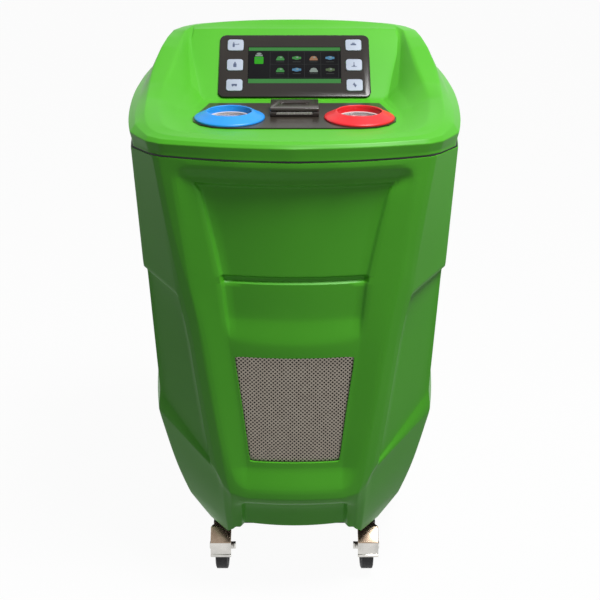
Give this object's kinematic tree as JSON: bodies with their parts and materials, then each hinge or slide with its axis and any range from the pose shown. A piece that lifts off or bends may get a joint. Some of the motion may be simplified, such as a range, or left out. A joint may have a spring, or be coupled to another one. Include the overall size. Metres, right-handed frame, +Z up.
{
  "type": "ac service station",
  "caption": "Upright wheeled refrigerant service station: bowed moulded hull, scooped head with display and keys, two coloured gauge rings, ticket printer, front vent grille and braked casters.",
  "frame": {"origin": "on the floor under the middle of the machine's footprint", "axes": "+Z up, -Y towards the operator (the front with the display), +X to the operator's right"},
  "size_m": [0.576, 0.541, 1.0165],
  "materials": {
    "green_front": "moulded, fine matt texture",
    "green_head": "moulded, fine matt texture",
    "gasket": "matt",
    "black_steel": "powder coat",
    "bezel": "satin film",
    "screen": "glossy",
    "key": "matt",
    "deck_film": "satin film",
    "ring_blue": "satin",
    "ring_red": "satin",
    "gauge": "matt dial",
    "lens": "clear",
    "needle": "matt",
    "printer": "glossy",
    "paper": "matt",
    "grille": "perforated sheet",
    "panel_steel": "powder coat",
    "inlet": "matt",
    "switch": "glossy",
    "port_blue": "anodised",
    "port_red": "anodised",
    "zinc": "zinc plated",
    "dark_steel": "dark zinc",
    "wheel_grey": "matt",
    "wheel_black": "matt",
    "tank": "painted",
    "alloy": "milled",
    "compressor": "painted",
    "pump": "painted",
    "bottle": "translucent",
    "case": "powder coat",
    "fan": "matt"
  },
  "bodies": {
    "cabinet": {"front_shell": "green_front", "rear_shell": "green_front", "head_cover": "green_head", "seam_gasket": "gasket", "hull_bracket_left": "black_steel", "hull_bracket_right": "black_steel", "side_cap": "inlet", "control_bezel": "bezel", "display_module": "screen", "deck_plate": "deck_film", "gauge_ring_blue": "ring_blue", "gauge_ring_red": "ring_red", "gauge_low": "gauge", "gauge_high": "gauge", "gauge_lens_low": "lens", "gauge_lens_high": "lens", "printer_body": "printer", "front_grille": "grille", "back_panel": "panel_steel", "power_inlet": "inlet", "service_port_low": "port_blue", "service_port_high": "port_red", "base_tray": "black_steel", "upright_left": "black_steel", "upright_right": "black_steel", "mid_shelf": "black_steel", "control_box": "case", "rear_axle": "zinc", "refrigerant_tank": "tank", "scale_platform": "alloy", "load_cell": "alloy", "compressor": "compressor", "vacuum_pump": "pump", "valve_manifold": "alloy", "oil_bottle": "bottle", "fan_shroud": "fan", "condenser": "alloy"},
    "key_1": {"key_1": "key"},
    "key_2": {"key_2": "key"},
    "key_3": {"key_3": "key"},
    "key_4": {"key_4": "key"},
    "key_5": {"key_5": "key"},
    "key_6": {"key_6": "key"},
    "printer_lid": {"printer_lid": "printer"},
    "paper_roll": {"paper_roll": "paper"},
    "gauge_needle_low": {"gauge_needle_low": "needle"},
    "gauge_needle_high": {"gauge_needle_high": "needle"},
    "power_switch": {"power_switch": "switch"},
    "caster_fork_left": {"caster_fork_left": "dark_steel", "caster_axle_left": "zinc"},
    "caster_wheel_left": {"caster_wheel_left": "wheel_grey"},
    "caster_pedal_left": {"caster_pedal_left": "zinc"},
    "rear_wheel_left": {"rear_wheel_left": "wheel_black"},
    "caster_fork_right": {"caster_fork_right": "dark_steel", "caster_axle_right": "zinc"},
    "caster_wheel_right": {"caster_wheel_right": "wheel_grey"},
    "caster_pedal_right": {"caster_pedal_right": "zinc"},
    "rear_wheel_right": {"rear_wheel_right": "wheel_black"},
    "fan_rotor": {"fan_rotor": "fan"}
  },
  "joints": [
    {"name": "key_1_press", "type": "slide", "parent": "cabinet", "child": "key_1", "axis": [0, 0.6157, -0.788], "range_m": [0, 0.0012], "stiffness_N_per_m": 900, "springref_m": -0.0004},
    {"name": "key_2_press", "type": "slide", "parent": "cabinet", "child": "key_2", "axis": [0, 0.6157, -0.788], "range_m": [0, 0.0012], "stiffness_N_per_m": 900, "springref_m": -0.0004},
    {"name": "key_3_press", "type": "slide", "parent": "cabinet", "child": "key_3", "axis": [0, 0.6157, -0.788], "range_m": [0, 0.0012], "stiffness_N_per_m": 900, "springref_m": -0.0004},
    {"name": "key_4_press", "type": "slide", "parent": "cabinet", "child": "key_4", "axis": [0, 0.6157, -0.788], "range_m": [0, 0.0012], "stiffness_N_per_m": 900, "springref_m": -0.0004},
    {"name": "key_5_press", "type": "slide", "parent": "cabinet", "child": "key_5", "axis": [0, 0.6157, -0.788], "range_m": [0, 0.0012], "stiffness_N_per_m": 900, "springref_m": -0.0004},
    {"name": "key_6_press", "type": "slide", "parent": "cabinet", "child": "key_6", "axis": [0, 0.6157, -0.788], "range_m": [0, 0.0012], "stiffness_N_per_m": 900, "springref_m": -0.0004},
    {"name": "printer_lid_hinge", "type": "hinge", "parent": "cabinet", "child": "printer_lid", "pos_m": [0, -0.052, 0.9135], "axis": [-1, 0, 0], "range_deg": [0, 85]},
    {"name": "paper_roll_spin", "type": "hinge", "parent": "cabinet", "child": "paper_roll", "pos_m": [0, -0.08425, 0.8833], "axis": [1, 0, 0], "continuous": true},
    {"name": "gauge_needle_low_turn", "type": "hinge", "parent": "cabinet", "child": "gauge_needle_low", "pos_m": [-0.1085, -0.123, 0.8956], "axis": [0, 0, -1], "range_deg": [0, 270]},
    {"name": "gauge_needle_high_turn", "type": "hinge", "parent": "cabinet", "child": "gauge_needle_high", "pos_m": [0.1085, -0.123, 0.8956], "axis": [0, 0, -1], "range_deg": [0, 270]},
    {"name": "power_switch_rock", "type": "hinge", "parent": "cabinet", "child": "power_switch", "pos_m": [0.105, 0.2637, 0.2635], "axis": [-1, 0, 0], "range_deg": [0, 10]},
    {"name": "caster_left_swivel", "type": "hinge", "parent": "cabinet", "child": "caster_fork_left", "pos_m": [-0.1425, -0.115, 0.115], "axis": [0, 0, 1], "continuous": true},
    {"name": "caster_left_wheel_spin", "type": "hinge", "parent": "caster_fork_left", "child": "caster_wheel_left", "pos_m": [-0.1425, -0.145, 0.045], "axis": [1, 0, 0], "continuous": true},
    {"name": "caster_left_brake", "type": "hinge", "parent": "caster_fork_left", "child": "caster_pedal_left", "pos_m": [-0.1425, -0.1584, 0.106], "axis": [1, 0, 0], "range_deg": [0, 9]},
    {"name": "rear_wheel_left_spin", "type": "hinge", "parent": "cabinet", "child": "rear_wheel_left", "pos_m": [-0.21, 0.15, 0.09], "axis": [1, 0, 0], "continuous": true},
    {"name": "caster_right_swivel", "type": "hinge", "parent": "cabinet", "child": "caster_fork_right", "pos_m": [0.1425, -0.115, 0.115], "axis": [0, 0, 1], "continuous": true},
    {"name": "caster_right_wheel_spin", "type": "hinge", "parent": "caster_fork_right", "child": "caster_wheel_right", "pos_m": [0.1425, -0.145, 0.045], "axis": [1, 0, 0], "continuous": true},
    {"name": "caster_right_brake", "type": "hinge", "parent": "caster_fork_right", "child": "caster_pedal_right", "pos_m": [0.1425, -0.1584, 0.106], "axis": [1, 0, 0], "range_deg": [0, 9]},
    {"name": "rear_wheel_right_spin", "type": "hinge", "parent": "cabinet", "child": "rear_wheel_right", "pos_m": [0.21, 0.15, 0.09], "axis": [1, 0, 0], "continuous": true},
    {"name": "fan_spin", "type": "hinge", "parent": "cabinet", "child": "fan_rotor", "pos_m": [0, -0.167, 0.405], "axis": [0, 1, 0], "continuous": true}
  ]
}
